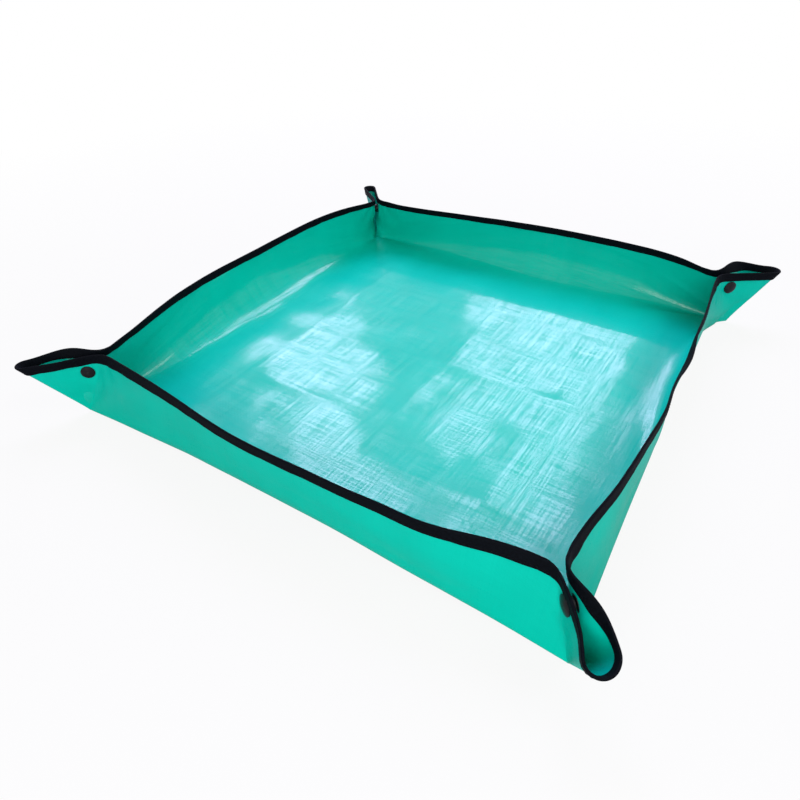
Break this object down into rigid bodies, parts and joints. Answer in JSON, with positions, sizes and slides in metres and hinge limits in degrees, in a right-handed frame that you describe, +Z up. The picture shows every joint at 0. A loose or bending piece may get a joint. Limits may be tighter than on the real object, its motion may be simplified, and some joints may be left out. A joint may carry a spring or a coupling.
{
  "type": "potting soil tray",
  "caption": "Square repotting tray folded from a coated woven sheet with a taped edge, its corners pinched up into ears by press-studs; the walls let down flat.",
  "frame": {"origin": "middle of the floor's underside, on the surface that the tray stands on", "axes": "+Z up out of the tray, -Y towards the front wall, +X towards the right wall"},
  "size_m": [0.616, 0.616, 0.073],
  "materials": {
    "coated_sheet": "green woven polyethylene with a glossy clear coat",
    "edge_binding": "black woven binding tape with a dull sheen",
    "press_stud": "black lacquered brass, satin",
    "ring_spring": "bare spring wire"
  },
  "bodies": {
    "floor": {"floor_panel": "coated_sheet"},
    "front_wall": {"front_wall_panel": "coated_sheet", "front_rim_binding": "edge_binding"},
    "front_right_front_flap": {"front_right_ear_front_flap": "coated_sheet", "front_right_ear_front_binding": "edge_binding", "front_right_snap_cap": "press_stud", "front_right_snap_socket": "press_stud", "front_right_snap_spring": "ring_spring"},
    "front_left_front_flap": {"front_left_ear_front_flap": "coated_sheet", "front_left_ear_front_binding": "edge_binding", "front_left_snap_stud": "press_stud", "front_left_snap_post": "press_stud"},
    "right_wall": {"right_wall_panel": "coated_sheet", "right_rim_binding": "edge_binding"},
    "back_right_right_flap": {"back_right_ear_right_flap": "coated_sheet", "back_right_ear_right_binding": "edge_binding", "back_right_snap_cap": "press_stud", "back_right_snap_socket": "press_stud", "back_right_snap_spring": "ring_spring"},
    "front_right_right_flap": {"front_right_ear_right_flap": "coated_sheet", "front_right_ear_right_binding": "edge_binding", "front_right_snap_stud": "press_stud", "front_right_snap_post": "press_stud"},
    "back_wall": {"back_wall_panel": "coated_sheet", "back_rim_binding": "edge_binding"},
    "back_left_back_flap": {"back_left_ear_back_flap": "coated_sheet", "back_left_ear_back_binding": "edge_binding", "back_left_snap_cap": "press_stud", "back_left_snap_socket": "press_stud", "back_left_snap_spring": "ring_spring"},
    "back_right_back_flap": {"back_right_ear_back_flap": "coated_sheet", "back_right_ear_back_binding": "edge_binding", "back_right_snap_stud": "press_stud", "back_right_snap_post": "press_stud"},
    "left_wall": {"left_wall_panel": "coated_sheet", "left_rim_binding": "edge_binding"},
    "front_left_left_flap": {"front_left_ear_left_flap": "coated_sheet", "front_left_ear_left_binding": "edge_binding", "front_left_snap_cap": "press_stud", "front_left_snap_socket": "press_stud", "front_left_snap_spring": "ring_spring"},
    "back_left_left_flap": {"back_left_ear_left_flap": "coated_sheet", "back_left_ear_left_binding": "edge_binding", "back_left_snap_stud": "press_stud", "back_left_snap_post": "press_stud"}
  },
  "joints": [
    {"name": "front_wall_fold", "type": "hinge", "parent": "floor", "child": "front_wall", "pos_m": [0, -0.268, 0.0008], "axis": [1, 0, 0], "range_deg": [0, 80]},
    {"name": "front_right_front_crease", "type": "hinge", "parent": "front_wall", "child": "front_right_front_flap", "pos_m": [0.26496, -0.268, 0.0008], "axis": [-0.2952, 0.2952, 0.9087], "range_deg": [0, 35.25]},
    {"name": "front_left_front_crease", "type": "hinge", "parent": "front_wall", "child": "front_left_front_flap", "pos_m": [-0.26496, -0.268, 0.0008], "axis": [-0.2952, -0.2952, -0.9087], "range_deg": [0, 35.25]},
    {"name": "right_wall_fold", "type": "hinge", "parent": "floor", "child": "right_wall", "pos_m": [0.268, 0, 0.0008], "axis": [0, 1, 0], "range_deg": [0, 80]},
    {"name": "back_right_right_crease", "type": "hinge", "parent": "right_wall", "child": "back_right_right_flap", "pos_m": [0.268, 0.26496, 0.0008], "axis": [-0.2952, -0.2952, 0.9087], "range_deg": [0, 35.25]},
    {"name": "front_right_right_crease", "type": "hinge", "parent": "right_wall", "child": "front_right_right_flap", "pos_m": [0.268, -0.26496, 0.0008], "axis": [0.2952, -0.2952, -0.9087], "range_deg": [0, 35.25]},
    {"name": "back_wall_fold", "type": "hinge", "parent": "floor", "child": "back_wall", "pos_m": [0, 0.268, 0.0008], "axis": [-1, 0, 0], "range_deg": [0, 80]},
    {"name": "back_left_back_crease", "type": "hinge", "parent": "back_wall", "child": "back_left_back_flap", "pos_m": [-0.26496, 0.268, 0.0008], "axis": [0.2952, -0.2952, 0.9087], "range_deg": [0, 35.25]},
    {"name": "back_right_back_crease", "type": "hinge", "parent": "back_wall", "child": "back_right_back_flap", "pos_m": [0.26496, 0.268, 0.0008], "axis": [0.2952, 0.2952, -0.9087], "range_deg": [0, 35.25]},
    {"name": "left_wall_fold", "type": "hinge", "parent": "floor", "child": "left_wall", "pos_m": [-0.268, 0, 0.0008], "axis": [0, -1, 0], "range_deg": [0, 80]},
    {"name": "front_left_left_crease", "type": "hinge", "parent": "left_wall", "child": "front_left_left_flap", "pos_m": [-0.268, -0.26496, 0.0008], "axis": [0.2952, 0.2952, 0.9087], "range_deg": [0, 35.25]},
    {"name": "back_left_left_crease", "type": "hinge", "parent": "left_wall", "child": "back_left_left_flap", "pos_m": [-0.268, 0.26496, 0.0008], "axis": [-0.2952, 0.2952, -0.9087], "range_deg": [0, 35.25]}
  ],
  "couplings": [
    {"joint": "front_right_front_crease", "follows": "front_wall_fold", "ratio": 0.4405},
    {"joint": "front_left_front_crease", "follows": "front_wall_fold", "ratio": 0.4405},
    {"joint": "right_wall_fold", "follows": "front_wall_fold", "ratio": 1},
    {"joint": "back_right_right_crease", "follows": "front_wall_fold", "ratio": 0.4405},
    {"joint": "front_right_right_crease", "follows": "front_wall_fold", "ratio": 0.4405},
    {"joint": "back_wall_fold", "follows": "front_wall_fold", "ratio": 1},
    {"joint": "back_left_back_crease", "follows": "front_wall_fold", "ratio": 0.4405},
    {"joint": "back_right_back_crease", "follows": "front_wall_fold", "ratio": 0.4405},
    {"joint": "left_wall_fold", "follows": "front_wall_fold", "ratio": 1},
    {"joint": "front_left_left_crease", "follows": "front_wall_fold", "ratio": 0.4405},
    {"joint": "back_left_left_crease", "follows": "front_wall_fold", "ratio": 0.4405}
  ]
}
